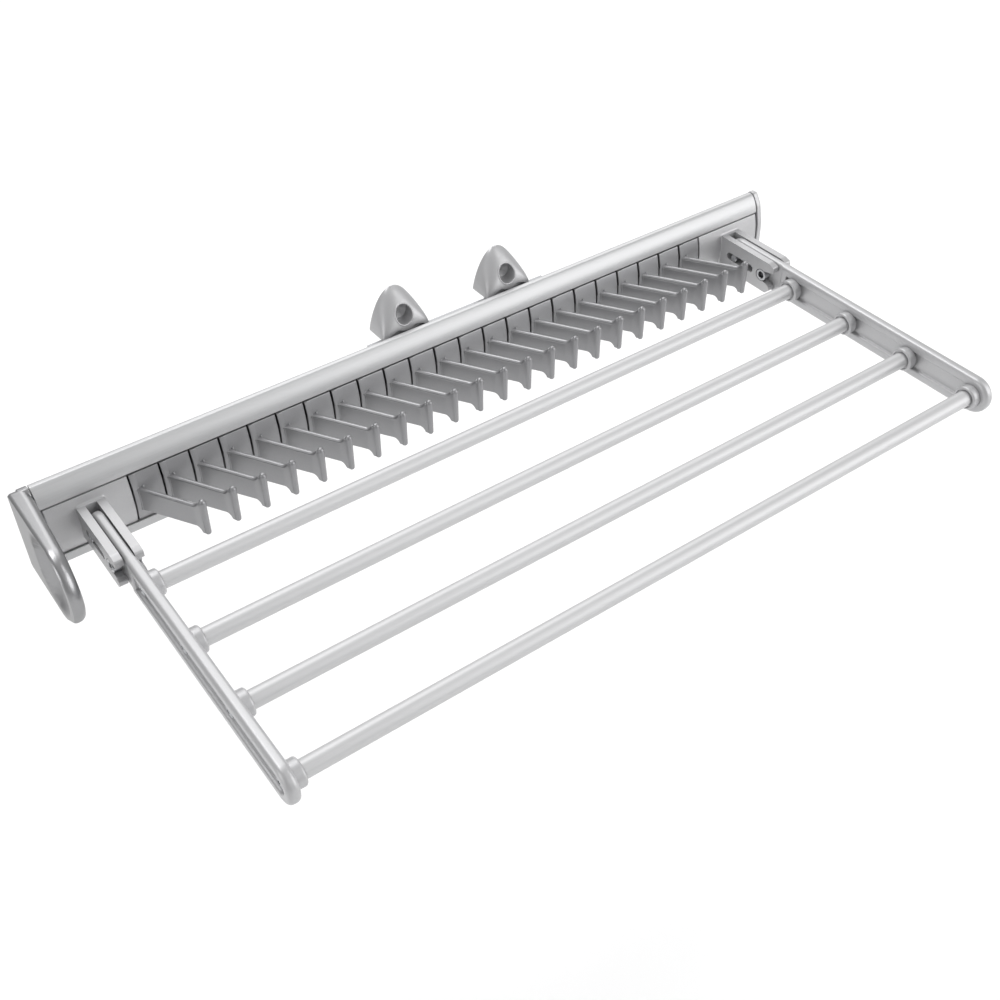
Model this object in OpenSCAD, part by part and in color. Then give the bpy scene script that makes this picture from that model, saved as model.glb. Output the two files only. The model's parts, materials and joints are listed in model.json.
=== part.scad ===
// Pull-out tie and trouser rack for the side wall of a wardrobe.
// X runs along the beam, the handle is at -X; +Y points into the wall, +Z up.
// The origin lies on the wall, midway between the two screw holes.

/* [Beam] */
// Length of the extruded beam between its two end caps
beam_len = 500; // [496:2:540]
// Depth of the beam from its face line to its back
beam_depth = 10.5; // [10.2:0.1:10.8]
// Height of the rounded lip above the groove
lip_h = 11.3; // [10:0.1:13]
// Radius of the rounded front of the lip
lip_r = 16; // [15:0.5:20]
// Height from the groove down to the underside of the beam
beam_drop = 38; // [37:0.5:42]
// Thickness of the beam's walls
beam_wall = 1.7; // [1.4:0.1:1.8]
// Distance from the wall of the wardrobe to the beam's face line
wall_to_face = 29.5; // [28:0.5:34]
// Height of the wall screws above the beam's groove
screw_above_groove = 17; // [16:0.5:22]
// How far the beam stands out of its middle position
beam_pulled_out = 17; // [0:1:60]
// Largest travel of the pins along their slots
slot_travel = 15.3; // [12:0.1:18]

/* [Tie hooks] */
// Distance from one hook to the next
hook_pitch = 17.42; // [15:0.02:18]
// Width of the wide tile at the handle end
first_tile_w = 46.9; // [44:0.1:48]
// Least width of the wide tile at the other end
last_tile_min_w = 47; // [44:0.1:52]
// Height of a tile
tile_h = 31.1; // [30:0.1:31.4]
// How far the middle of a tile bulges forward
tile_bulge = 2.6; // [1.8:0.1:3.2]
// Gap between two neighbouring tiles
tile_gap = 0.8; // [0.4:0.1:1.2]
// Reach of a hook in front of the beam's face line
hook_reach = 38.4; // [30:0.2:42]
// Sideways lean of a hook over that reach
hook_lean = 20.7; // [14:0.1:22]
// Thickness of a hook's web
web_t = 1.8; // [1.4:0.1:2.4]
// Diameter of the bead along the top of a hook
bead_d = 2.7; // [2.4:0.1:3.2]
// Diameter of the upright post at a hook's tip
post_d = 3.9; // [3.4:0.1:4.6]

/* [Clevises] */
// Distance from each end of the beam to the middle of its clevis
clevis_x = 24.6; // [23:0.1:25]
// Width of a clevis over both cheeks
clevis_w = 15.3; // [14.4:0.1:16.4]
// Width of the gap between the cheeks
clevis_gap = 6.3; // [6:0.1:6.8]
// Gap between the beam's left end and the wide tile there
first_tile_inset = 1; // [0:0.1:2]
// Gap between the beam's right end and the wide tile there
last_tile_inset = 0.4; // [0:0.1:2]
// Height of a clevis
clevis_h = 21.8; // [21:0.1:23]
// Reach of the upper fingers in front of the face line
clevis_reach = 50.2; // [49:0.1:51]
// How much shorter the lower fingers are
finger_step = 2.2; // [1:0.1:4]
// Diameter of the hinge pins
pin_d = 5; // [4:0.1:5.4]
// Outer diameter of the hollow stop bushes in the jaws
bush_d = 8.4; // [7.6:0.1:8.8]
// Bore of the stop bushes
bush_bore = 4.5; // [3:0.1:5]
// Distance of the stop bushes in front of the hinge pins
bush_ahead = 25.4; // [25:0.1:26]

/* [Trouser frame] */
// Height of an arm
arm_h = 22.4; // [20:0.2:22.6]
// Width of an arm's thick rim
arm_w = 6.5; // [6:0.1:8]
// Width of the slimmer tongue between the cheeks
tongue_w = 5.1; // [4.4:0.1:5.4]
// Thickness of the thin web inside the rim
arm_web = 2.1; // [1.6:0.1:2.8]
// Height of the rim round the web
rim_h = 5.8; // [5:0.1:6.4]
// Distance from the hinge pins to the first rod
first_rod = 49.9; // [49:0.1:54]
// Distance from one rod to the next
rod_pitch = 46.7; // [36:0.1:52]
// Outer diameter of a trouser rod
rod_d = 9.5; // [8:0.1:10]
// Wall of a trouser rod
rod_wall = 1.2; // [0.8:0.1:1.4]
// Outer diameter of a rod collar
collar_d = 14.2; // [13:0.1:15]
// How far a collar stands in from the middle plane of its arm
collar_reach = 8.5; // [7:0.1:10]

/* [Wall side] */
// Distance between the two wall screws
screw_spacing = 74; // [66:1:90]
// Diameter of the holes for the wall screws
screw_hole_d = 4.5; // [4:0.1:5]
// Length of the fixed runner track
track_len = 126; // [120:1:150]
// Thickness of the fixed runner track
track_t = 5.7; // [5:0.1:6]
// Width of a wall bracket at its foot
bracket_w = 33; // [30:0.5:36]
// Height of a bracket above the wall screw
bracket_top = 13.4; // [12:0.1:15]
// Depth of a bracket from the wall to its nose
bracket_nose = 16; // [15:0.5:18]
// Diameter of the recess round a screw head
recess_d = 11; // [9.4:0.1:12]

/* [End pieces] */
// Thickness of the handle
handle_t = 10.2; // [9:0.1:12]
// Reach of the handle in front of the face line
handle_reach = 63.7; // [60:0.1:68]
// How much thinner the grip gets from the beam to its front
handle_taper = 3; // [0:0.1:4]
// Depth of the finger dish in the handle's outer face
dish_depth = 4.8; // [3:0.1:5.4]
// Thickness of the rear end cap
cap_t = 4.2; // [3:0.1:6]
// Gap between an end piece and the beam
cap_gap = 0.7; // [0.4:0.1:1]
// How far the end cap stands proud of the beam all round
cap_proud = 0.4; // [0.2:0.1:0.8]

/* [Fits] */
// Clearance of a pin in its bore or slot
pin_fit = 0.05; // [0.03:0.01:0.1]
// Gap of a slide-in or push-in piece
push_fit = 0.1; // [0.05:0.01:0.15]
// Running gap of the glides in the beam
glide_gap = 0.3; // [0.2:0.05:0.4]

/* [Hidden] */
$fn = 64;
cut = 1;
mirror_sides = [-1, 1];

// Beam section, measured from the groove: u towards the wall, v up
seat_u = 2.6;
lip_back_r = 2.5;
lip_centre_drop = 1;
seat_wall = 1.6;
lower_lip_h = 5.6;
lower_lip_out = 0.9;
tuck_t = 1;
tuck_h = 1.2;
groove_h = 0.9;
track_room_h = 22;
track_room_top = -3;
track_slot_h = 10;
chamber_u = seat_u + seat_wall;
back_u = beam_depth - beam_wall;
track_mid_v = track_room_top - track_room_h / 2;
upper_room_u = 5;
upper_room_floor = 0.7;
upper_room_roof = 3.4;
lower_lip_top = lower_lip_h - beam_drop;
tile_top = -groove_h;
tile_bottom = tile_top - tile_h;
tile_r = (pow(tile_h / 2, 2) + pow(tile_bulge, 2)) / (2 * tile_bulge);
tile_mid_v = (tile_top + tile_bottom) / 2;
beam_x = -beam_len / 2 - beam_pulled_out;

// Clevis and frame, measured from the groove and the beam's left end
arm_r = arm_h / 2;
axis_v = -16.7;
bridge_t = 3.2;
bridge_gap = 0.3;
pin_u = -(bridge_t + bridge_gap + arm_r);
slot_back_room = 3.4;
bush_u = pin_u - bush_ahead;
jaw_mouth_share = 0.92;
finger_r = 2.4;
clevis_top = axis_v + clevis_h / 2;
tongue_len = 37.2;
tongue_round = 1.8;
rim_round = 2.1;
shoulder_len = 3.2;
rod_in = rod_d / 2 - rod_wall;
web_face = arm_web / 2;
rod_len = beam_len - 2 * clevis_x - 2 * web_face;
rod_places = [for (i = [0:3]) -(first_rod + i * rod_pitch)];
arm_len = first_rod + 3 * rod_pitch;
collar_neck_r = arm_r - rim_h - pin_fit;
collar_lip_depth = 1.2;
collar_lip_w = 1;
collar_round = 0.8;
plug_len = 14;
frame_screw_d = 4;
frame_screw_len = 11;
frame_head_d = 7;
frame_head_h = 1.3;
head_slot_w = 1.1;
head_slot_len = 4.4;
head_slot_depth = 0.6;
web_hole_gap = 0.2;

// Hooks fill what the two wide tiles leave
hook_count = floor((beam_len - first_tile_w - last_tile_min_w) / hook_pitch);

// Hook, measured in its own leaning plane
hook_angle = atan(hook_lean / hook_reach);
hook_len = norm([hook_lean, hook_reach]);
hook_root_x = 2.7;
hook_inset = 1.5;
bead_root_v = -10.4;
bead_tip_v = -8.2;
bead_stop = 3.4;
web_root_bottom = -24.6;
web_tip_bottom = -21.8;
post_top_v = -2.4;
post_foot_v = -26;
foot_fillet_r = 4.6;
strip_w = 3.2;
strip_t = 0.35;
pimple_r = 0.9;
pimple_x = 6.2;
pimple_v = -9.6;

// Track, brackets and fixings on the wall side
track_u = 11;
track_back_u = track_u + track_t;
track_up = 20.2;
track_down = 13;
track_top = track_mid_v + track_up;
track_bottom = track_mid_v - track_down;
head_h = track_room_h - 4;
head_t = 3.2;
head_u = chamber_u + (back_u - chamber_u - head_t) / 2;
neck_h = 5;
glide_h = (track_room_h - head_h) / 2 - glide_gap;
glide_u = chamber_u + glide_gap;
glide_t = back_u - chamber_u - 2 * glide_gap;
track_screw_d = 4;
track_screw_head_d = 8;
track_screw_depth = 11;
track_screw_down = 8;
track_screw_up = 15.5;
track_screw_places = [track_mid_v - track_screw_down, track_mid_v + track_screw_up];
pad_w = 17;
pad_y = wall_to_face - track_back_u;
bracket_foot = track_top - screw_above_groove;
bracket_h = bracket_top - bracket_foot;
fin_steps = 24;
fin_side_power = 1.3;
fin_nose_power = 0.8;
fin_level_shares = [0, 0.1, 0.2, 0.32, 0.44, 0.56, 0.68, 0.79, 0.88, 0.95, 0.985, 0.999];
arch_h = 4;
arch_w = 29;
arch_back = 6;
boss_wall = 3.4;
sink_depth = 2.4;
bore_len = 5;
sink_d = 9.2;

// Handle: a plate stretched round circles, each [u, v, radius], and end caps
handle_below = 2;
handle_above = 0.1;
handle_back_u = 9.8;
handle_back_r = 3.2;
handle_back_x = handle_back_u - handle_back_r;
handle_top = lip_h + handle_above;
handle_bottom = -beam_drop - handle_below;
handle_brow_r = 21.5;
handle_brow_v = -9.8;
handle_tip_r = 6.3;
handle_tip_v = -22.8;
handle_tip_in = 5.2;
handle_belly_r = 19.7;
handle_belly_in = 11.7;
handle_circles = [
    [handle_back_x, handle_top - handle_back_r, handle_back_r],
    [handle_back_x, handle_bottom + handle_back_r, handle_back_r],
    [handle_brow_r - handle_reach, handle_brow_v, handle_brow_r],
    [handle_tip_in + handle_tip_r - handle_reach, handle_tip_v, handle_tip_r],
    [handle_belly_in + handle_belly_r - handle_reach, handle_bottom + handle_belly_r, handle_belly_r]];
handle_inner_r = 4.5;
handle_outer_r = 2.5;
handle_outer_turn = 50;
handle_slice = 0.3;
handle_least_r = 1.2;
dish_r = 46;
dish_inset = 27.7;
dish_v = -12;
spigot_len = 9;
spigot_wall = 3;
stop_len = 26;

function two(n) = str(n < 10 ? "0" : "", n);
hook_names = [for (i = [1:hook_count]) str("tie_hook_", two(i))];
rod_names = [for (i = [1:4]) str("trouser_rod_", i)];
left_collar_names = [for (i = [1:4]) str("rod_collar_left_", i)];
right_collar_names = [for (i = [1:4]) str("rod_collar_right_", i)];

// Places and helpers
module at_beam() {
    translate([beam_x, -wall_to_face, -screw_above_groove]) children();
}

// Extrudes a (u, v) section along the beam
module along_x(start, length) {
    translate([start, 0, 0]) rotate([90, 0, 90]) linear_extrude(length) children();
}

// Extrudes an (x, z) section towards the room, from y = 0
module outwards(length) {
    rotate([90, 0, 0]) linear_extrude(length) children();
}

// A round bar along X, centred on x = 0
module bar_x(r, length) {
    rotate([0, 90, 0]) cylinder(r = r, h = length, center = true);
}

module block_uv(u0, u1, v0, v1) {
    translate([u0, v0]) square([u1 - u0, v1 - v0]);
}

module rounded_block(w, h, r) {
    square([w - 2 * r, h], center = true);
    square([w, h - 2 * r], center = true);
    for (sx = mirror_sides, sy = mirror_sides)
        translate([sx * (w / 2 - r), sy * (h / 2 - r)]) circle(r);
}

// Beam
module lip_section() {
    intersection() {
        translate([lip_r, -lip_centre_drop]) circle(lip_r);
        union() {
            block_uv(0, beam_depth, 0, lip_h - lip_back_r);
            block_uv(0, beam_depth - lip_back_r, 0, lip_h);
            translate([beam_depth - lip_back_r, lip_h - lip_back_r]) circle(lip_back_r);
        }
    }
}

module beam_outline() {
    lip_section();
    block_uv(seat_u, beam_depth, -beam_drop, 0);
    block_uv(-lower_lip_out, beam_depth, -beam_drop, lower_lip_top);
}

// The closed rooms inside the beam: above, for the track, and below
module upper_room(gap = 0) {
    block_uv(upper_room_u + gap, back_u - gap, upper_room_floor + gap, lip_h - upper_room_roof - gap);
}

module track_room(gap = 0) {
    block_uv(chamber_u + gap, back_u - gap, track_room_top - track_room_h + gap, track_room_top - gap);
}

module lower_room(gap = 0) {
    block_uv(chamber_u + gap, back_u - gap, beam_wall - beam_drop + gap,
             track_room_top - track_room_h - beam_wall - gap);
}

module beam_section() {
    difference() {
        beam_outline();
        upper_room();
        track_room();
        lower_room();
        block_uv(back_u - cut, beam_depth + cut, track_mid_v - track_slot_h / 2, track_mid_v + track_slot_h / 2);
        // Slots behind both lips, where the tiles are tucked in
        block_uv(seat_u - tuck_t - push_fit, seat_u, -cut, tuck_h + push_fit);
        block_uv(seat_u - tuck_t - push_fit, seat_u, lower_lip_top - tuck_h - push_fit, lower_lip_top + cut);
    }
}

module beam_profile() {
    color("lightgray") at_beam() along_x(0, beam_len) beam_section();
}

module beam_stops() {
    color("dimgray") at_beam()
        for (x = [0, beam_len - stop_len]) along_x(x, stop_len) track_room(push_fit);
}

// Tiles and hooks
module tile_section(extra = 0) {
    intersection() {
        translate([tile_r - tile_bulge, tile_mid_v]) circle(tile_r + extra);
        block_uv(-tile_bulge - extra, seat_u, tile_bottom, tile_top);
    }
    block_uv(seat_u - tuck_t, seat_u, lower_lip_top - tuck_h, tuck_h);
}

// The upright plane of one hook: s along the hook, v up
module hook_web() {
    polygon([
        [-hook_inset, bead_root_v],
        [hook_len - bead_stop, bead_tip_v],
        [hook_len, bead_tip_v],
        [hook_len, web_tip_bottom],
        [-hook_inset, web_root_bottom]]);
    difference() {
        block_uv(hook_len - foot_fillet_r - post_d / 2, hook_len, web_tip_bottom - foot_fillet_r, web_tip_bottom + cut);
        translate([hook_len - foot_fillet_r - post_d / 2, web_tip_bottom - foot_fillet_r]) circle(foot_fillet_r);
        block_uv(hook_len - foot_fillet_r - post_d, hook_len + cut, post_foot_v - foot_fillet_r, post_foot_v + post_d / 2);
    }
}

module hook_bead() {
    rise = atan((bead_tip_v - bead_root_v) / hook_len);
    length = (hook_len - bead_stop) / cos(rise);
    translate([0, 0, bead_root_v]) rotate([0, 90 - rise, 0]) {
        cylinder(d = bead_d, h = length);
        translate([0, 0, length]) sphere(d = bead_d);
    }
}

module hook_post() {
    r = post_d / 2;
    translate([hook_len, 0, post_foot_v + r]) {
        sphere(r);
        cylinder(r = r, h = post_top_v - post_foot_v - 2 * r);
        translate([0, 0, post_top_v - post_foot_v - 2 * r]) sphere(r);
    }
}

module tie_hook(i) {
    x = first_tile_w + i * hook_pitch;
    color("silver") at_beam() {
        along_x(x + tile_gap / 2, hook_pitch - tile_gap) tile_section();
        along_x(x + tile_gap / 2, strip_w) intersection() {
            tile_section(strip_t);
            block_uv(-tile_bulge - strip_t, seat_u, bead_root_v, tile_top);
        }
        translate([x + pimple_x, -tile_bulge + pimple_r / 2, pimple_v]) sphere(pimple_r);
        translate([x + hook_root_x, 0, 0]) rotate([0, 0, hook_angle - 90]) {
            translate([0, web_t / 2, 0]) rotate([90, 0, 0]) linear_extrude(web_t) hook_web();
            hook_bead();
            hook_post();
        }
    }
}

// Clevises: one casting each, with the wide tile that it stands on
module clevis_side() {
    jaw_r = bush_d / 2 + pin_fit;
    mouth = jaw_r * jaw_mouth_share;
    difference() {
        union() {
            block_uv(-clevis_reach + finger_r, 0, axis_v, clevis_top);
            block_uv(-clevis_reach, 0, axis_v, clevis_top - finger_r);
            translate([-clevis_reach + finger_r, clevis_top - finger_r]) circle(finger_r);
            block_uv(-clevis_reach + finger_step + finger_r, 0, clevis_top - clevis_h, axis_v);
            block_uv(-clevis_reach + finger_step, 0, clevis_top - clevis_h + finger_r, axis_v);
            translate([-clevis_reach + finger_step + finger_r, clevis_top - clevis_h + finger_r])
                circle(finger_r);
        }
        translate([bush_u, axis_v]) circle(jaw_r);
        block_uv(-clevis_reach - cut, bush_u, axis_v - mouth, axis_v + mouth);
        // Lips of the jaw, opened out towards the front
        for (s = mirror_sides)
            translate([-clevis_reach - finger_r / 2, axis_v + s * mouth]) circle(finger_r);
        slot_section();
    }
}

module slot_section() {
    r = pin_d / 2 + pin_fit;
    block_uv(pin_u - slot_travel, pin_u + slot_back_room, axis_v - r, axis_v + r);
    for (u = [pin_u - slot_travel, pin_u + slot_back_room]) translate([u, axis_v]) circle(r);
}

module clevis(x, tile_x, tile_w) {
    color("silver") at_beam() {
        along_x(tile_x, tile_w) tile_section();
        difference() {
            along_x(x - clevis_w / 2, clevis_w) clevis_side();
            along_x(x - clevis_gap / 2, clevis_gap)
                block_uv(-clevis_reach - cut, -bridge_t, clevis_top - clevis_h - cut, clevis_top + cut);
        }
    }
}

module clevis_left() {
    clevis(clevis_x, first_tile_inset, first_tile_w - tile_gap / 2 - first_tile_inset);
}

module clevis_right() {
    x = first_tile_w + hook_count * hook_pitch + tile_gap / 2;
    clevis(beam_len - clevis_x, x, beam_len - x - last_tile_inset);
}

module stop_bushes(x) {
    cheek = (clevis_w - clevis_gap) / 2;
    color("gainsboro") at_beam() for (s = mirror_sides)
        translate([x + s * (clevis_gap + cheek) / 2, bush_u, axis_v]) difference() {
            bar_x(bush_d / 2, cheek);
            bar_x(bush_bore / 2, cheek + cut);
        }
}

// End pieces
module spigots(start, length) {
    along_x(start, length) {
        upper_room(push_fit);
        lower_room(push_fit);
    }
}

// The handle's circles at depth x, drawn in by inset; lean moves the front ones out
module handle_slices(x, inset, lean) {
    for (c = handle_circles)
        along_x(x - lean * max(-c[0], 0) / handle_reach, handle_slice) translate([c[0], c[1]])
            circle(max(c[2] - inset, handle_least_r), $fn = 32);
}

module handle_plate() {
    outer = -cap_gap - handle_t;
    hull() {
        for (turn = [0, 30, 60, 90])
            handle_slices(-cap_gap - handle_slice - handle_inner_r * (1 - cos(turn)),
                          handle_inner_r * (1 - sin(turn)), handle_taper);
        for (turn = [0, handle_outer_turn])
            handle_slices(outer + handle_outer_r * (sin(handle_outer_turn) - sin(turn)),
                          handle_outer_r * (1 - cos(turn)), 0);
    }
}

module front_handle() {
    color("silver") at_beam() {
        difference() {
            handle_plate();
            translate([dish_depth - dish_r - cap_gap - handle_t, dish_inset - handle_reach, dish_v])
                sphere(dish_r);
        }
        spigots(-cap_gap - cut, spigot_len + cap_gap + cut);
    }
}

module end_outline(proud) {
    offset(r = proud) {
        lip_section();
        block_uv(0, beam_depth, -beam_drop, 0);
        tile_section();
        block_uv(-lower_lip_out, seat_u, -beam_drop, lower_lip_top);
    }
}

module rear_cap() {
    color("lightgray") at_beam() {
        along_x(beam_len + cap_gap, cap_t) end_outline(cap_proud);
        spigots(beam_len - spigot_len, spigot_len + cap_gap + cut);
    }
}

// Hinge pins
module hinge_pin(x) {
    color("gray") at_beam() translate([x, pin_u, axis_v]) bar_x(pin_d / 2, clevis_w);
}

// Arms: a thick rim round a thin web, with a plain tongue at the hinge end
module arm_disc_section(w, round) {
    block_uv(0, arm_r - round, -w / 2, w / 2);
    block_uv(0, arm_r, -w / 2 + round, w / 2 - round);
    for (s = mirror_sides) translate([arm_r - round, s * (w / 2 - round)]) circle(round);
}

module rim_section() {
    rounded_block(rim_h, arm_w, rim_round);
}

module arm_body() {
    rim_mid = arm_r - rim_h / 2;
    difference() {
        union() {
            rotate([0, 90, 0]) rotate_extrude(angle = 180) arm_disc_section(tongue_w, tongue_round);
            outwards(tongue_len + shoulder_len / 2) rounded_block(tongue_w, arm_h, tongue_round);
            translate([0, -tongue_len, 0]) outwards(shoulder_len) rounded_block(arm_w, arm_h, rim_round);
            for (s = mirror_sides) translate([0, -tongue_len - shoulder_len, s * rim_mid])
                outwards(arm_len - tongue_len - shoulder_len) rotate(90) rim_section();
            translate([0, -arm_len, 0]) rotate([0, 90, 0]) rotate([0, 0, 180]) rotate_extrude(angle = 180)
                translate([rim_mid, 0]) rim_section();
            translate([0, -arm_len, 0]) rotate([0, 90, 0]) rotate([0, 0, 180])
                translate([0, 0, -web_face]) rotate_extrude(angle = 180) square([rim_mid, arm_web]);
            translate([0, -tongue_len, 0]) outwards(arm_len - tongue_len) square([arm_web, 2 * rim_mid], center = true);
        }
        bar_x(pin_d / 2 + pin_fit, arm_w + cut);
        for (y = rod_places) translate([0, y, 0]) bar_x(frame_screw_d / 2 + web_hole_gap, arm_w);
    }
}

module arm(x) {
    color("silver") at_beam() translate([x, pin_u, axis_v]) arm_body();
}

module trouser_rod(i) {
    color("gainsboro") at_beam() translate([beam_len / 2, pin_u + rod_places[i], axis_v]) difference() {
        bar_x(rod_d / 2, rod_len);
        bar_x(rod_in, rod_len + cut);
    }
}

// Runs its children at every rod end of one arm, with +Z pointing in along the rod
module at_rod_end(side, i) {
    x = side < 0 ? clevis_x : beam_len - clevis_x;
    at_beam() translate([x, pin_u + rod_places[i], axis_v]) rotate([0, -side * 90, 0]) children();
}

module collar_section() {
    bore = rod_d / 2 + pin_fit;
    difference() {
        union() {
            block_uv(bore, collar_neck_r, web_face, arm_w / 2 + pin_fit);
            block_uv(bore, collar_d / 2, arm_w / 2 + pin_fit, collar_reach - collar_round);
            block_uv(bore, collar_d / 2 - collar_round, arm_w / 2 + pin_fit, collar_reach);
            translate([collar_d / 2 - collar_round, collar_reach - collar_round]) circle(collar_round);
        }
        block_uv(0, bore + collar_lip_w, collar_reach - collar_lip_depth, collar_reach + cut);
    }
}

module rod_collar(side, i) {
    color("silver") at_rod_end(side, i) rotate_extrude() collar_section();
}

module rod_plugs(side) {
    color("dimgray") for (i = [0:3]) at_rod_end(side, i) translate([0, 0, web_face]) difference() {
        cylinder(r = rod_in - pin_fit, h = plug_len);
        translate([0, 0, -cut]) cylinder(r = frame_screw_d / 2 + pin_fit, h = plug_len + 2 * cut);
    }
}

module rod_screws(side) {
    color("darkgray") for (i = [0:3]) at_rod_end(side, i) translate([0, 0, -web_face]) {
        cylinder(d = frame_screw_d, h = frame_screw_len);
        difference() {
            translate([0, 0, -frame_head_h]) cylinder(d = frame_head_d, h = frame_head_h);
            for (turn = [0, 90]) rotate([0, 0, turn])
                translate([0, 0, -frame_head_h]) cube([head_slot_len, head_slot_w, 2 * head_slot_depth], center = true);
        }
    }
}

// Fixed runner track with its glides
module track_section() {
    block_uv(track_u, track_back_u, track_bottom, track_top);
    block_uv(head_u, track_u + cut, track_mid_v - neck_h / 2, track_mid_v + neck_h / 2);
    block_uv(head_u, head_u + head_t, track_mid_v - head_h / 2, track_mid_v + head_h / 2);
}

// Runs its children at every screw of the track, +Z pointing to the wall
module at_track_screws() {
    for (s = mirror_sides, v = track_screw_places)
        translate([s * screw_spacing / 2, -wall_to_face + track_u, v - screw_above_groove])
            rotate([-90, 0, 0]) children();
}

module runner_track() {
    color("darkgray") difference() {
        translate([0, -wall_to_face, -screw_above_groove]) along_x(-track_len / 2, track_len) track_section();
        at_track_screws() {
            translate([0, 0, -cut]) cylinder(d = track_screw_d + 2 * pin_fit, h = track_t + 2 * cut);
            cylinder(d1 = track_screw_head_d + 2 * pin_fit, d2 = track_screw_d, h = (track_screw_head_d - track_screw_d) / 2);
            translate([0, 0, head_u - track_u - cut]) cylinder(d = track_screw_head_d + 2 * pin_fit, h = track_u - head_u + cut);
        }
    }
}

module track_screws() {
    color("gray") at_track_screws() {
        cylinder(d = track_screw_d, h = track_screw_depth);
        difference() {
            cylinder(d1 = track_screw_head_d, d2 = track_screw_d, h = (track_screw_head_d - track_screw_d) / 2);
            for (turn = [0, 90]) rotate([0, 0, turn])
                cube([head_slot_len, head_slot_w, 2 * head_slot_depth], center = true);
        }
    }
}

module glide(side) {
    edge = track_mid_v + side * head_h / 2;
    color("whitesmoke") translate([0, -wall_to_face, -screw_above_groove]) along_x(-track_len / 2, track_len)
        block_uv(glide_u, glide_u + glide_t, min(edge, edge + side * glide_h), max(edge, edge + side * glide_h));
}

// Wall brackets: a fin that leans back to the wall, over a pad that carries the track
// Level section of a bracket at a share of its height: nearly square at its foot, round above
function fin_section(share) =
    let (half = bracket_w / 2 * sqrt(1 - pow(share, fin_side_power)),
         deep = bracket_nose * pow(1 - pow(share, 2), fin_nose_power),
         power = 2 / (2.1 + 9 * pow(1 - share, 3)))
    [for (k = [0:fin_steps]) let (turn = 180 * k / fin_steps)
        [half * sign(cos(turn)) * pow(abs(cos(turn)), power), -deep * pow(sin(turn), power)]];

module bracket_fin() {
    hull() for (share = fin_level_shares)
        translate([0, 0, bracket_foot + share * bracket_h])
            linear_extrude(bracket_h * (1 - fin_level_shares[len(fin_level_shares) - 1]))
                polygon(fin_section(share));
}

module bracket(x) {
    arch_r = (pow(arch_w / 2, 2) + pow(arch_h, 2)) / (2 * arch_h);
    pad_h = bracket_foot - track_bottom + screw_above_groove;
    color("silver") translate([x, 0, 0]) difference() {
        union() {
            bracket_fin();
            translate([-pad_w / 2, -pad_y, bracket_foot - pad_h]) cube([pad_w, pad_y, pad_h + cut]);
        }
        rotate([90, 0, 0]) {
            translate([0, 0, -cut]) cylinder(d = screw_hole_d, h = bracket_nose + cut);
            translate([0, 0, bore_len]) cylinder(d1 = screw_hole_d, d2 = sink_d, h = sink_depth);
            translate([0, 0, bore_len + sink_depth]) cylinder(d = recess_d, h = bracket_nose);
        }
        // Arched hollow under the nose
        translate([0, -arch_back, bracket_foot + arch_h - arch_r]) rotate([90, 0, 0])
            difference() {
                intersection() {
                    cylinder(r = arch_r, h = bracket_nose);
                    translate([-arch_w / 2, arch_r - arch_h - cut, 0]) cube([arch_w, arch_h + 2 * cut, bracket_nose]);
                }
                translate([0, arch_r - arch_h - bracket_foot, -cut])
                    cylinder(d = recess_d + 2 * boss_wall, h = bracket_nose + 2 * cut);
            }
        for (v = track_screw_places)
            translate([0, -pad_y - cut, v - screw_above_groove]) rotate([-90, 0, 0])
                cylinder(d = track_screw_d + 2 * pin_fit, h = track_screw_depth - track_t + 2 * cut);
    }
}

bracket(-screw_spacing / 2);  // bracket_front
bracket(screw_spacing / 2);  // bracket_rear
runner_track();
glide(1);  // glide_upper
glide(-1);  // glide_lower
track_screws();
beam_profile();
beam_stops();
front_handle();
rear_cap();
clevis_left();
clevis_right();
stop_bushes(clevis_x);  // stop_bushes_left
stop_bushes(beam_len - clevis_x);  // stop_bushes_right
for (i = [0:hook_count - 1]) tie_hook(i);
hinge_pin(clevis_x);  // hinge_pin_left
hinge_pin(beam_len - clevis_x);  // hinge_pin_right
arm(clevis_x);  // arm_left
arm(beam_len - clevis_x);  // arm_right
for (i = [0:3]) trouser_rod(i);
for (i = [0:3]) rod_collar(-1, i);
for (i = [0:3]) rod_collar(1, i);
rod_plugs(-1);  // rod_plugs_left
rod_plugs(1);  // rod_plugs_right
rod_screws(-1);  // rod_screws_left
rod_screws(1);  // rod_screws_right
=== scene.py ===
import json
import math

import bmesh
import bpy
from mathutils import Matrix, Vector


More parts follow.
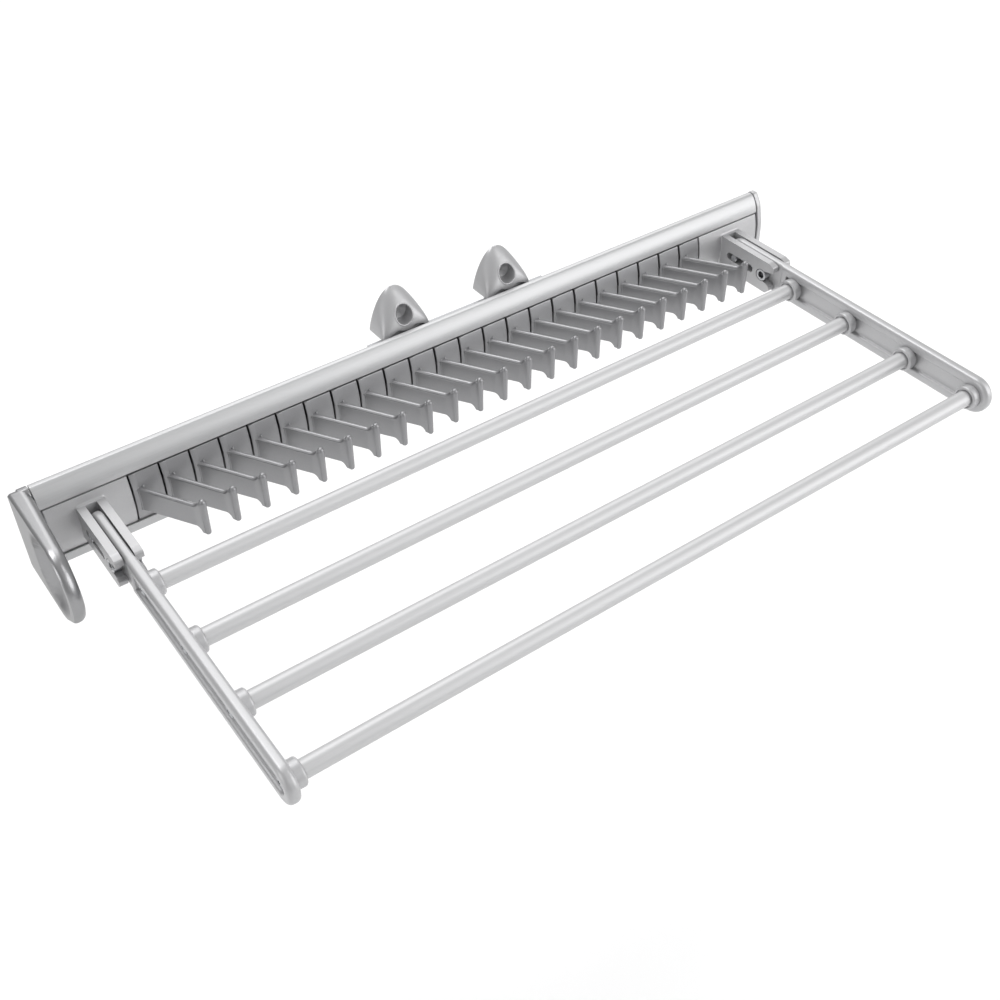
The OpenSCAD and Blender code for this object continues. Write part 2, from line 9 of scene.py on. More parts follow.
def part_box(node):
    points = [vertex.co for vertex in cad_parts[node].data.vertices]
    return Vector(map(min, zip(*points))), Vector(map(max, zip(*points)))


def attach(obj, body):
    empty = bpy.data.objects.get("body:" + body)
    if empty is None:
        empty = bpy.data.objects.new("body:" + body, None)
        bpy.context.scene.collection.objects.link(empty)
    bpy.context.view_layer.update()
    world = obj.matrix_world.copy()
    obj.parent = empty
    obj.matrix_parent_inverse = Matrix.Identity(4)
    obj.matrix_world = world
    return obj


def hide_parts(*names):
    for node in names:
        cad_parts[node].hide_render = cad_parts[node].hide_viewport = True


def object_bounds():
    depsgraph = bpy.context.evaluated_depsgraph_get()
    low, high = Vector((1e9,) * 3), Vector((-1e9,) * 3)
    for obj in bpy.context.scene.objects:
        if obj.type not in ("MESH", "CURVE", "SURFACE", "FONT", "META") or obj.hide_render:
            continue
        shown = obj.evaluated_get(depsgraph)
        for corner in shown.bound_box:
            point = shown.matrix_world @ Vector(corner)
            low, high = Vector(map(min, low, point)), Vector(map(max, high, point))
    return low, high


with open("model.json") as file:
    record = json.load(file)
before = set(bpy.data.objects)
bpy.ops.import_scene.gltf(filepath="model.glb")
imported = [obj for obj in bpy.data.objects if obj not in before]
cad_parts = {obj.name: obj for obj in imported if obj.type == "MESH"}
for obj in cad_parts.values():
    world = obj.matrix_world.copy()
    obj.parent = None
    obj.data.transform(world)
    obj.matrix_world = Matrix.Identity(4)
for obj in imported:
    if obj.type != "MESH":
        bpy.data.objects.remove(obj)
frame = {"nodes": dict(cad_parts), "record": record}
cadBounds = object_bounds()
print("frame loaded:", len(frame["nodes"]), "nodes")

# Every piece is drawn in millimetres along the beam: x from the beam's left end,
# u from its face line towards the wall, v up from the groove under its lip.
beamLow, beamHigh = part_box("beam_profile")

beamSizes = {
    "length": (beamHigh.x - beamLow.x) * 1000,
    "depth": 10.5,
    "lipHeight": 11.3,
    "lipRadius": 16,
    "lipCentreDrop": 1,
    "lipTopRadius": 1.4,
    "lipTopDrop": 0.55,   # the round front ends this far under the top
    "lipTopRun": 1.1,
    "lipBackRadius": 2.5,
    "edgeRadius": 0.4,
    "drop": 38,
    "dropRadius": 0.8,
    "seat": 2.6,          # the tiles' backs rest this far behind the face line
    "lowerLipTop": -32.4,
    "lowerLipOut": 0.9,
    "tuckFront": 1.5,
    "tuckDepth": 1.3,
    "roomFront": 4.2,
    "roomBack": 8.8,
    "roomTop": -3,
    "roomBottom": -25,
    "slotTop": -9,
    "slotBottom": -19,
}

toMetres = Matrix.Translation((
    beamLow.x,
    beamHigh.y - beamSizes["depth"] / 1000,
    beamHigh.z - beamSizes["lipHeight"] / 1000,
)) @ Matrix.Scale(0.001, 4)
fromMetres = toMetres.inverted()


def nodeBox(name):
    low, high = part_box(name)
    return fromMetres @ low, fromMetres @ high


def nodeCentre(name):
    low, high = nodeBox(name)
    return (low + high) / 2


def placeObject(name, data):
    thing = bpy.data.objects.new(name, data)
    bpy.context.scene.collection.objects.link(thing)
    return thing


# Camera, solved from the photograph's own straight lines

cameraSizes = {
    "place": (-84.64, -517.65, 427.85),   # x, u and v, as the pieces have them
    "pitch": 42.03,
    "yaw": 35.53,
    "roll": -0.71,
    "lens": 45.464,
    "sensor": 36,
    "clipEnd": 20,
}


def addCamera(sizes):
    data = bpy.data.cameras.new("photoCamera")
    data.lens = sizes["lens"]
    data.sensor_width = sizes["sensor"]
    data.clip_end = sizes["clipEnd"]
    camera = placeObject("photoCamera", data)
    turn = (Matrix.Rotation(math.radians(-sizes["yaw"]), 4, "Z")
            @ Matrix.Rotation(math.radians(90 - sizes["pitch"]), 4, "X")
            @ Matrix.Rotation(math.radians(sizes["roll"]), 4, "Z"))
    camera.matrix_world = Matrix.Translation(toMetres @ Vector(sizes["place"])) @ turn
    bpy.context.scene.camera = camera


addCamera(cameraSizes)
print("camera placed")


# Nodes and colours


def hexColour(code):
    channels = [int(code[i:i + 2], 16) / 255 for i in (1, 3, 5)]
    return [c / 12.92 if c <= 0.04045 else ((c + 0.055) / 1.055) ** 2.4 for c in channels] + [1.0]


def addNode(tree, kind, settings=None, links=None):
    node = tree.nodes.new(kind)
    for name, value in (settings or {}).items():
        if isinstance(name, str) and name not in node.inputs:
            setattr(node, name, value)
        else:
            node.inputs[name].default_value = value
    for name, source in (links or {}).items():
        tree.links.new(source, node.inputs[name])
    return node


def newMaterial(name):
    material = bpy.data.materials.new(name)
    material.use_nodes = True
    material.node_tree.nodes.clear()
    return material, material.node_tree


# Materials. Pattern scales are in waves per metre, worked out from a size in millimetres.

roughSpread = 0.05   # how far a pattern moves the roughness either way


def patternedSurface(material, pattern, height, finish, settings, bumpStrength=0.3, spread=0.0):
    # the end of every material: its colour, and its roughness where that spreads, follow a pattern
    tree = material.node_tree
    tint = addNode(tree, "ShaderNodeMix", {
        "data_type": "RGBA", 6: hexColour(finish["shade"]), 7: hexColour(finish["colour"]),
    }, {0: pattern})
    bump = addNode(tree, "ShaderNodeBump", {
        "Strength": bumpStrength, "Distance": finish["bump"] / 1000,
    }, {"Height": height})
    links = {"Base Color": tint.outputs[2], "Normal": bump.outputs[0]}
    if spread:
        rough = addNode(tree, "ShaderNodeMapRange", {
            "To Min": finish["roughness"] - spread, "To Max": finish["roughness"] + spread,
        }, {"Value": pattern})
        links["Roughness"] = rough.outputs[0]
    else:
        settings["Roughness"] = finish["roughness"]
    shader = addNode(tree, "ShaderNodeBsdfPrincipled", settings, links)
    addNode(tree, "ShaderNodeOutputMaterial", None, {"Surface": shader.outputs[0]})
    return material


extrusionFinish = {
    "colour": "#c4c4c5", "shade": "#babbbc", "metallic": 0.5, "roughness": 0.42,
    "lineWidth": 0.45,   # die lines of an extrusion are finer; this is as fine as the render shows
    "lineLength": 160, "bump": 0.012,
}


def anodisedExtrusion(name, finish):
    # anodised aluminium: a soft metal sheen with faint die lines along its length
    material, tree = newMaterial(name)
    place = addNode(tree, "ShaderNodeTexCoord").outputs["Object"]
    along, across = 1000 / finish["lineLength"], 1000 / finish["lineWidth"]
    stretch = addNode(tree, "ShaderNodeMapping", {"Scale": (along, across, across)}, {"Vector": place})
    lines = addNode(tree, "ShaderNodeTexNoise", {
        "Scale": 1.0, "Detail": 2.0,
    }, {"Vector": stretch.outputs[0]}).outputs["Fac"]
    settings = {"Metallic": finish["metallic"]}
    return patternedSurface(material, lines, lines, finish, settings, 0.35, roughSpread)


castingFinish = {
    "colour": "#bebebf", "shade": "#b1b1b3", "metallic": 0.4, "roughness": 0.42,
    "coat": 0.35, "coatRoughness": 0.22, "edge": "#e0e0e0",
    "grain": 0.7,        # paint flakes are far finer; this is as fine as the render shows
    "cloud": 18, "bump": 0.02,
}

handleFinish = {
    "colour": "#a4a4a5", "shade": "#98989a", "metallic": 0.85, "roughness": 0.34,
    "coat": 0.3, "coatRoughness": 0.2, "edge": "#b8b8b8", "grain": 0.7, "cloud": 18, "bump": 0.02,
}

# the hooks' lacquer is set darker than the castings': partly the hooks' own tone, partly painted shade for the
# shadow under the lip and between the hooks
hookFinishWithPaintedShade = {
    "colour": "#98989a", "shade": "#8c8c8e", "metallic": 0.65, "roughness": 0.4,
    "coat": 0.7, "coatRoughness": 0.22, "edge": "#e0e0e0", "grain": 0.6, "cloud": 14, "bump": 0.03,
}


def silverPaint(name, finish):
    # metallic silver lacquer: flakes give a fine sparkle under a satin clear coat
    material, tree = newMaterial(name)
    place = addNode(tree, "ShaderNodeTexCoord").outputs["Object"]
    grain = addNode(tree, "ShaderNodeTexNoise", {
        "Scale": 1000 / finish["grain"], "Detail": 1.5,
    }, {"Vector": place}).outputs["Fac"]
    cloud = addNode(tree, "ShaderNodeTexNoise", {
        "Scale": 1000 / finish["cloud"], "Detail": 2.0,
    }, {"Vector": place}).outputs["Fac"]
    # a third of the pattern is slow cloud, the rest is grain
    blend = addNode(tree, "ShaderNodeMix", {"data_type": "FLOAT", 0: 0.35}, {2: grain, 3: cloud})
    return patternedSurface(material, blend.outputs[0], grain, finish, {
        "Metallic": finish["metallic"], "Specular Tint": hexColour(finish["edge"]),
        "Coat Weight": finish["coat"], "Coat Roughness": finish["coatRoughness"],
    }, spread=roughSpread)


tubeFinish = {
    "colour": "#cbcbcc", "shade": "#c1c1c2", "metallic": 0.45, "roughness": 0.5,
    "lineWidth": 0.6, "lineLength": 60, "bump": 0.012,
}

trackFinish = {
    "colour": "#a5a6a8", "shade": "#8f9092", "metallic": 0.9, "roughness": 0.38,
    "lineWidth": 0.8, "lineLength": 120, "bump": 0.02,
}

steelFinish = {
    "colour": "#b9babc", "shade": "#9c9da0", "metallic": 1.0, "roughness": 0.28,
    "grain": 0.5, "cloud": 6, "bump": 0.01,
}

zincFinish = {
    "colour": "#b4b6b8", "shade": "#8f9194", "metallic": 1.0, "roughness": 0.36,
    "grain": 0.8, "cloud": 3, "bump": 0.015,
}


def turnedMetal(name, finish):
    # turned or plated steel: brighter than the paint, with cloudy plating
    material, tree = newMaterial(name)
    place = addNode(tree, "ShaderNodeTexCoord").outputs["Object"]
    cloud = addNode(tree, "ShaderNodeTexNoise", {
        "Scale": 1000 / finish["cloud"], "Detail": 3.0,
    }, {"Vector": place}).outputs["Fac"]
    grain = addNode(tree, "ShaderNodeTexNoise", {
        "Scale": 1000 / finish["grain"], "Detail": 1.0,
    }, {"Vector": place}).outputs["Fac"]
    return patternedSurface(material, cloud, grain, finish, {"Metallic": finish["metallic"]})


acetalFinish = {
    "colour": "#e6e4de", "shade": "#d8d6d0", "roughness": 0.35, "ior": 1.48, "grain": 2.0, "bump": 0.03,
}

nylonFinish = {
    "colour": "#34353a", "shade": "#2a2b2f", "roughness": 0.5, "ior": 1.53, "grain": 1.2, "bump": 0.03,
}


def mouldedPlastic(name, finish):
    # moulded plastic: an even colour with a faint moulding texture
    material, tree = newMaterial(name)
    place = addNode(tree, "ShaderNodeTexCoord").outputs["Object"]
    grain = addNode(tree, "ShaderNodeTexNoise", {
        "Scale": 1000 / finish["grain"], "Detail": 2.0,
    }, {"Vector": place}).outputs["Fac"]
    return patternedSurface(material, grain, grain, finish, {"IOR": finish["ior"]})


materials = {
    "satin_aluminium": anodisedExtrusion("satinAnodisedExtrusion", extrusionFinish),
    "satin_tube": anodisedExtrusion("satinAnodisedTube", tubeFinish),
    "track_aluminium": anodisedExtrusion("millFinishAluminium", trackFinish),
    "silver_casting": silverPaint("silverLacqueredCasting", castingFinish),
    "silver_handle": silverPaint("silverLacqueredHandle", handleFinish),
    "silver_moulding": silverPaint("silverLacqueredMoulding", castingFinish),
    "silver_hooks": silverPaint("silverLacqueredHooksWithPaintedShade", hookFinishWithPaintedShade),
    "steel": turnedMetal("turnedSteel", steelFinish),
    "zinc_screws": turnedMetal("zincPlatedSteel", zincFinish),
    "glide_plastic": mouldedPlastic("whiteAcetal", acetalFinish),
    "dark_plastic": mouldedPlastic("darkNylon", nylonFinish),
}
print("materials made:", len(materials))


# Mesh helpers


def quarterTurn(steps):
    # angles from 0 to 90 degrees
    return [math.pi / 2 * k / steps for k in range(steps + 1)]


def share(pair, part):
    # the value that far from the first of a pair to its second
    return pair[0] + (pair[1] - pair[0]) * part


def roundedOutline(corners, steps=5):
    # corners are (a, b, radius), anticlockwise or clockwise; a radius of 0 keeps the corner
    outline = []
    for i, (a, b, radius) in enumerate(corners):
        here = Vector((a, b))
        if radius <= 0:
            outline.append(here)
            continue
        back = (Vector(corners[i - 1][:2]) - here).normalized()
        ahead = (Vector(corners[(i + 1) % len(corners)][:2]) - here).normalized()
        half = back.angle(ahead) / 2
        centre = here + (back + ahead).normalized() * (radius / math.sin(half))
        first = here + back * (radius / math.tan(half)) - centre
        last = here + ahead * (radius / math.tan(half)) - centre
        start = math.atan2(first.y, first.x)
        turn = (math.atan2(last.y, last.x) - start + math.pi) % (2 * math.pi) - math.pi
        for k in range(steps + 1):
            angle = start + turn * k / steps
            outline.append(centre + Vector((math.cos(angle), math.sin(angle))) * radius)
    return outline


def arc(centre, radius, startDegrees, endDegrees, steps):
    points = []
    for k in range(steps + 1):
        angle = math.radians(startDegrees + (endDegrees - startDegrees) * k / steps)
        points.append(Vector(centre) + Vector((math.cos(angle), math.sin(angle))) * radius)
    return points


def anticlockwise(outline):
    area = sum(p.x * q.y - q.x * p.y for p, q in zip(outline, outline[1:] + outline[:1]))
    return outline if area > 0 else outline[::-1]


def insetOutline(outline, amount):
    # draws an anticlockwise outline in by amount; the least divisor holds back very sharp corners
    if amount == 0:
        return list(outline)
    leastDivisor = 0.3
    drawn = []
    for i, here in enumerate(outline):
        before = (here - outline[i - 1]).normalized()
        after = (outline[(i + 1) % len(outline)] - here).normalized()
        first = Vector((-before.y, before.x))
        second = Vector((-after.y, after.x))
        drawn.append(here + (first + second) * (amount / max(1 + first.dot(second), leastDivisor)))
    return drawn


def loft(rings, caps=True):
    bm = bmesh.new()
    loops = [[bm.verts.new(p) for p in ring] for ring in rings]
    for lower, upper in zip(loops, loops[1:]):
        for i in range(len(lower)):
            j = (i + 1) % len(lower)
            bm.faces.new((lower[i], lower[j], upper[j], upper[i]))
    if caps:
        bm.faces.new(loops[0][::-1])
        bm.faces.new(loops[-1])
    return bm


def alongBeam(a, b, depth):
    return Vector((depth, a, b))


def extrude(outline, start, end, edge=0.0, steps=3, place=alongBeam):
    # a prism of an (a, b) outline whose end edges are rounded, or flared where edge is negative
    outline = anticlockwise([Vector(p) for p in outline])
    reach = abs(edge)
    turns = quarterTurn(steps) if reach else [math.pi / 2]
    rings = []
    for angle, at, way in [(a, start, 1) for a in turns] + [(a, end, -1) for a in turns[::-1]]:
        ring = insetOutline(outline, edge * (1 - math.sin(angle)))
        rings.append([place(p.x, p.y, at + way * reach * (1 - math.cos(angle))) for p in ring])
    return loft(rings)


def lathe(profile, segments=48):
    # profile is (radius, height) from one end of the axis to the other, turned about Z
    bm = bmesh.new()
    loops = []
    for radius, height in profile:
        if radius == 0:
            loops.append([bm.verts.new((0, 0, height))])
        else:
            loops.append([
                bm.verts.new((radius * math.cos(turn), radius * math.sin(turn), height))
                for turn in (2 * math.pi * k / segments for k in range(segments))
            ])
    for lower, upper in zip(loops, loops[1:]):
        for k in range(segments):
            m = (k + 1) % segments
            corners = [lower[k % len(lower)], lower[m % len(lower)]]
            corners += [upper[m % len(upper)], upper[k % len(upper)]]
            corners = [c for i, c in enumerate(corners) if c not in corners[:i]]
            if len(corners) > 2:
                bm.faces.new(corners)
    return bm


def ball(radius, centre, first, last, step):
    # profile of part of a ball, in degrees from its top; centre is its height
    profile = []
    for degrees in range(first, last + 1, step):
        angle = math.radians(degrees)
        profile.append((radius * math.sin(angle) if degrees % 180 else 0, centre + radius * math.cos(angle)))
    return profile


def closedLoft(rings):
    # a loft whose last ring joins its first
    bm = loft(rings + [rings[0]], caps=False)
    bmesh.ops.remove_doubles(bm, verts=bm.verts, dist=0.0001)
    return bm


def ringLathe(profile, segments=48):
    # a closed (radius, height) profile that doesn't touch the axis
    rings = []
    for k in range(segments):
        turn = 2 * math.pi * k / segments
        rings.append([Vector((r * math.cos(turn), r * math.sin(turn), h)) for r, h in profile])
    return closedLoft(rings)


def moved(bm, matrix):
    bmesh.ops.transform(bm, matrix=matrix, verts=bm.verts)
    return bm


def pointX(x, u, v, side=1):
    # turns a lathe's axis along the beam and puts it at (x, u, v); side -1 turns it round
    return Matrix.Translation((x, u, v)) @ Matrix.Rotation(math.radians(90 * side), 4, "Y")


def gather(parts):
    # several closed parts in one mesh
    whole = bmesh.new()
    for part in parts:
        mesh = bpy.data.meshes.new("working")
        part.to_mesh(mesh)
        part.free()
        whole.from_mesh(mesh)
        bpy.data.meshes.remove(mesh)
    return whole


def asObject(bm):
    bmesh.ops.recalc_face_normals(bm, faces=bm.faces)
    mesh = bpy.data.meshes.new("working")
    bm.to_mesh(mesh)
    bm.free()
    return placeObject("working", mesh)


def combine(base, tools, operation="UNION", bevel=0.0, bevelSteps=3, bevelAngle=32):
    # joins or cuts solids, then rounds what is still sharp
    target = asObject(base)
    helpers = [asObject(tool) for tool in tools]
    for helper in helpers:
        modifier = target.modifiers.new("combine", "BOOLEAN")
        modifier.operation = operation
        modifier.solver = "EXACT"
        modifier.object = helper
    if bevel:
        modifier = target.modifiers.new("edges", "BEVEL")
        modifier.width = bevel
        modifier.segments = bevelSteps
        modifier.limit_method = "ANGLE"
        modifier.angle_limit = math.radians(bevelAngle)
        modifier.miter_outer = "MITER_ARC"
    evaluated = target.evaluated_get(bpy.context.evaluated_depsgraph_get())
    result = bmesh.new()
    result.from_mesh(evaluated.to_mesh())
    evaluated.to_mesh_clear()
    for used in [target] + helpers:
        mesh = used.data
        bpy.data.objects.remove(used)
        bpy.data.meshes.remove(mesh)
    # a boolean leaves points and slivers a few thousandths of a millimetre apart
    bmesh.ops.remove_doubles(result, verts=result.verts, dist=0.002)
    bmesh.ops.dissolve_degenerate(result, edges=result.edges, dist=0.001)
    return result


def pieceMesh(name, bm, smoothAngle=40):
    bmesh.ops.recalc_face_normals(bm, faces=bm.faces)
    mesh = bpy.data.meshes.new(name)
    bm.to_mesh(mesh)
    bm.free()
    mesh.transform(toMetres)
    mesh.polygons.foreach_set("use_smooth", [True] * len(mesh.polygons))
    mesh.set_sharp_from_angle(angle=math.radians(smoothAngle))
    return mesh


def addPiece(name, mesh, body, slot, node, along=0.0):
    piece = placeObject(name, mesh)
    piece.location.x = along
    if not mesh.materials:
        mesh.materials.append(materials[slot])
    shading = piece.modifiers.new("shading", "WEIGHTED_NORMAL")
    shading.keep_sharp = True
    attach(piece, body)
    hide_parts(node)


def makePiece(name, bm, body, slot, node, smoothAngle=40):
    addPiece(name, pieceMesh(name, bm, smoothAngle), body, slot, node)


# Beam: an extrusion with a round-fronted lip over a dark groove


def lipFront(sizes):
    # the lip's round front, from the groove up to the fillet at its top
    radius, sink = sizes["lipRadius"], sizes["lipCentreDrop"]
    low = 180 - math.degrees(math.asin(sink / radius))
    high = 180 - math.degrees(math.asin((sizes["lipHeight"] + sink - sizes["lipTopDrop"]) / radius))
    return arc((radius, -sink), radius, low, high, 16)


def beamOutline(sizes):
    front = lipFront(sizes)
    top, back, small = sizes["lipHeight"], sizes["depth"], sizes["edgeRadius"]
    tuck, ledge = sizes["tuckFront"], sizes["lowerLipTop"]
    corners = [(tuck, sizes["tuckDepth"], 0), (tuck, 0, 0)]
    corners += [(p.x, p.y, small if i == 0 else 0) for i, p in enumerate(front)]
    corners += [
        (front[-1].x + sizes["lipTopRun"], top, sizes["lipTopRadius"]),
        (back, top, sizes["lipBackRadius"]),
        (back, sizes["slotTop"], small),
        (sizes["roomBack"], sizes["slotTop"], 0),
        (sizes["roomBack"], sizes["roomTop"], 0),
        (sizes["roomFront"], sizes["roomTop"], 0),
        (sizes["roomFront"], sizes["roomBottom"], 0),
        (sizes["roomBack"], sizes["roomBottom"], 0),
        (sizes["roomBack"], sizes["slotBottom"], 0),
        (back, sizes["slotBottom"], small),
        (back, -sizes["drop"], sizes["dropRadius"]),
        (-sizes["lowerLipOut"], -sizes["drop"], sizes["dropRadius"]),
        (-sizes["lowerLipOut"], ledge, small),
        (tuck, ledge, 0),
        (tuck, ledge - sizes["tuckDepth"], 0),
        (sizes["seat"], ledge - sizes["tuckDepth"], 0),
        (sizes["seat"], sizes["tuckDepth"], 0),
    ]
    return roundedOutline(corners)


beam = extrude(beamOutline(beamSizes), 0, beamSizes["length"])
makePiece("beamExtrusion", beam, "beam", "satin_aluminium", "beam_profile")
print("beam made")


# Tiles and tie hooks

hookSizes = {
    "firstTile": 46.9,
    "pitch": 17.42,
    "gap": 0.8,
    "tileTop": -0.9,
    "tileHeight": 31.1,
    "bulge": 2.6,
    "tileEdge": 0.5,
    "stripWidth": 3.4,    # the raised strip along a tile's left side
    "stripHeight": 0.6,
    "stripEdge": 0.3,
    "stripFoot": 0.3,
    "pimple": (6.2, -9.6, 0.95),   # x, v and radius
    "pimpleSink": 0.25,
    "rootX": 2.7,
    "rootSink": 0.25,
    "rootFillet": 0.25,
    "reach": 38.4,
    "lean": 20.7,
    "webThickness": 1.8,
    "webRound": 0.45,
    # at the hook's root and at its tip
    "webBottom": (-24.6, -21.8),
    "beadHeight": (-10.4, -8.2),
    "beadDiameter": 2.7,
    "postDiameter": 3.9,
    "postTop": -2.4,
    "postFoot": -26,
    "postTaper": 0.88,
    "footFillet": 4.6,
    "filletEnd": 0.93,    # share of the fillet that is drawn before it would stand upright
    "saddle": 4.4,        # hollow between the bead and the post
    "saddleEnd": 0.72,
    "blend": 6.5,         # stretch over which the web swells to the post's width
    "blendSkin": (0.03, 0.02),     # keeps the web just inside the post and the bead
    "blendEnd": 0.2,
    # places along the web where its section is drawn: inside the tile, from its root, and plain
    "start": -1.4,
    "rootSteps": (-0.6, 0, 0.08, 0.16, 0.25),
    "plainSteps": [10, 18, 26, 32],
}


def tileOutline(sizes, proud=0.0, bottom=None):
    top = sizes["tileTop"]
    low = top - sizes["tileHeight"]
    middle = (top + low) / 2
    half = sizes["tileHeight"] / 2
    radius = (half ** 2 + sizes["bulge"] ** 2) / (2 * sizes["bulge"])
    swing = math.degrees(math.asin(half / radius))
    face = arc((radius - sizes["bulge"], middle), radius + proud, 180 - swing, 180 + swing, 18)
    if bottom is not None:
        face = [p for p in face if p.y > bottom]
        face.append(Vector((-sizes["bulge"] - proud + sizes["stripFoot"], bottom)))
    soft = sizes["tileEdge"]
    corners = [(beamSizes["seat"], face[0].y, 0)]
    corners += [(p.x, p.y, soft if i in (0, len(face) - 1) else 0) for i, p in enumerate(face)]
    corners += [(beamSizes["seat"], face[-1].y, 0)]
    return roundedOutline(corners, 4)


def tileFace(sizes, v):
    # how far the tile's face stands forward at that height
    half = sizes["tileHeight"] / 2
    radius = (half ** 2 + sizes["bulge"] ** 2) / (2 * sizes["bulge"])
    offset = v - (sizes["tileTop"] - half)
    return math.sqrt(max(radius ** 2 - offset ** 2, 0)) - radius + sizes["bulge"]


def webSection(half, bottom, beadV, beadR, soft):
    # keyhole section of a hook: a thin web with a round bead along its top
    low = arc((half - soft, bottom + soft), soft, -90, 0, 3)
    dip = math.degrees(math.asin(min(half / beadR, 0.98)))
    bead = arc((0, beadV), beadR, -90 + dip, 270 - dip, 16)
    return low + bead + [Vector((-p.x, p.y)) for p in low[::-1]]


def flare(distance, radius):
    if distance >= radius:
        return 0.0
    return radius - math.sqrt(radius ** 2 - (radius - max(distance, 0)) ** 2)


def makeWeb(sizes, length, lean):
    # the hook's web along its own length: flared at the tile, swelling and rising into the post
    thin = sizes["webThickness"] / 2
    beadLeast = sizes["beadDiameter"] / 2
    postR = sizes["postDiameter"] / 2
    fillet = sizes["footFillet"]
    underPost, underBead = sizes["blendSkin"]
    rootAt = sizes["bulge"] / math.cos(lean) - sizes["rootSink"]
    postAt = length - postR
    swellAt = length - sizes["blendEnd"]
    stations = [sizes["start"]] + [rootAt + d for d in sizes["rootSteps"]] + sizes["plainSteps"]
    stations += [swellAt - (sizes["blend"] + 1) * (1 - k / 28) for k in range(29)]
    rings = []
    for s in stations:
        part = max(s, 0) / length
        swell = min(max(1 - (swellAt - s) / sizes["blend"], 0), 1)
        half = thin + (postR - thin - underPost) * swell ** 2 * (3 - 2 * swell)
        rise = min(flare(postAt - s, sizes["saddle"]), sizes["saddle"] * sizes["saddleEnd"])
        beadTop = share(sizes["beadHeight"], part) + rise
        beadR = max(beadLeast, half + underBead)
        bottom = share(sizes["webBottom"], part)
        into = s - (length - postR - fillet)
        if into > 0:
            bottom -= fillet - math.sqrt(fillet ** 2 - min(into, fillet * sizes["filletEnd"]) ** 2)
        section = webSection(half, bottom, beadTop + beadLeast - beadR, beadR, sizes["webRound"])
        section = insetOutline(anticlockwise(section), -flare(s - rootAt, sizes["rootFillet"]))
        rings.append([Vector((s, -p.x, p.y)) for p in section])
    return loft(rings)


def makeHookMesh(sizes):
    length = math.hypot(sizes["reach"], sizes["lean"])
    lean = math.atan2(sizes["lean"], sizes["reach"])
    swing = Matrix.Translation((sizes["rootX"], 0, 0)) @ Matrix.Rotation(lean - math.pi / 2, 4, "Z")
    web = moved(makeWeb(sizes, length, lean), swing)
    postR = sizes["postDiameter"] / 2
    footR = postR * sizes["postTaper"]
    profile = ball(postR, sizes["postTop"] - postR, 0, 90, 10)
    profile += ball(footR, sizes["postFoot"] + footR, 90, 180, 10)
    post = moved(moved(lathe(profile, 32), Matrix.Translation((length, 0, 0))), swing)
    start = sizes["gap"] / 2
    tile = extrude(tileOutline(sizes), start, sizes["pitch"] - start, sizes["tileEdge"])
    stripOutline = tileOutline(sizes, sizes["stripHeight"], sizes["beadHeight"][0])
    strip = extrude(stripOutline, start, start + sizes["stripWidth"], sizes["stripEdge"], 2)
    x, v, r = sizes["pimple"]
    pimple = moved(lathe(ball(r, 0, 0, 180, 15), 20),
                   Matrix.Translation((x, -tileFace(sizes, v) + r * sizes["pimpleSink"], v)))
    return pieceMesh("tieHook", combine(tile, [strip, web, post, pimple]))


def makeHooks(sizes):
    mesh = makeHookMesh(sizes)
    nodes = sorted(n for n in frame["nodes"] if n.startswith("tie_hook_"))
    for i, node in enumerate(nodes):
        along = (sizes["firstTile"] + i * sizes["pitch"]) / 1000
        addPiece("tieHook" + node[-3:], mesh, "beam", "silver_hooks", node, along)
    return len(nodes)


hookCount = makeHooks(hookSizes)
print("hooks made:", hookCount)


# Clevises: a slotted, two-cheeked bracket cast in one with its wide tile

clevisSizes = {
    "fromEnd": 24.6,
    "endGap": (1.0, 0.4),
    "width": 15.3,
    "mouth": 6.3,
    "axis": -16.7,
    "back": 1,
    "top": -5.8,
    "bottomRoot": -27.0,
    "bottom": -27.6,
    "nose": 50.2,
    # a cheek's corners from its top to its bottom: back from the nose, up from the axis, radius
    "topNose": (4.8, 5),
    "upperNose": [(0, 9.5, 1.5), (0.2, 5.4, 1.1), (4.6, 4.45, 0.9)],
    "lowerNose": [(4.6, -4.35, 1.0), (2.2, -5.6, 1.0), (2.0, -8.2, 1.5)],
    "bottomNose": (4.8, 2.4),
    "bridge": 3.2,        # joins the cheeks at their root
    "bridgeSlope": 0.04,
    "bridgeBite": 0.5,
    "slot": (11.3, 30.0),
    "slotRadius": 2.55,
    "jaw": 40.1,
    "jawRadius": 4.22,
    "jawTurn": 118,       # degrees that the round jaw runs to either side
    "rootRadius": 1.2,
    "rootFillet": 1.6,
    "skirt": (0.02, 0.1),  # keeps the fillet's faces just off those that it joins
    "opening": (60, 40, 2),
    "edge": 0.55,
    "bushDiameter": 8.0,
    "bushBore": 4.5,
    "bushRound": (0.35, 0.4),
}


def cheekOutline(sizes):
    axis, nose = sizes["axis"], -sizes["nose"]
    turn = sizes["jawTurn"]
    jaw = arc((-sizes["jaw"], axis), sizes["jawRadius"], turn, -turn, 22)
    corners = [(sizes["back"], sizes["top"], 0), (nose + sizes["topNose"][0], sizes["top"], sizes["topNose"][1])]
    corners += [(nose + a, axis + b, r) for a, b, r in sizes["upperNose"]]
    corners += [(p.x, p.y, 0) for p in jaw]
    corners += [(nose + a, axis + b, r) for a, b, r in sizes["lowerNose"]]
    corners += [(nose + sizes["bottomNose"][0], sizes["bottom"], sizes["bottomNose"][1]),
                (sizes["back"], sizes["bottomRoot"], 0)]
    return roundedOutline(corners)


def slotOutline(sizes):
    r = sizes["slotRadius"]
    inner, outer = sizes["slot"]
    return arc((-outer, sizes["axis"]), r, 90, 270, 12) + arc((-inner, sizes["axis"]), r, -90, 90, 12)


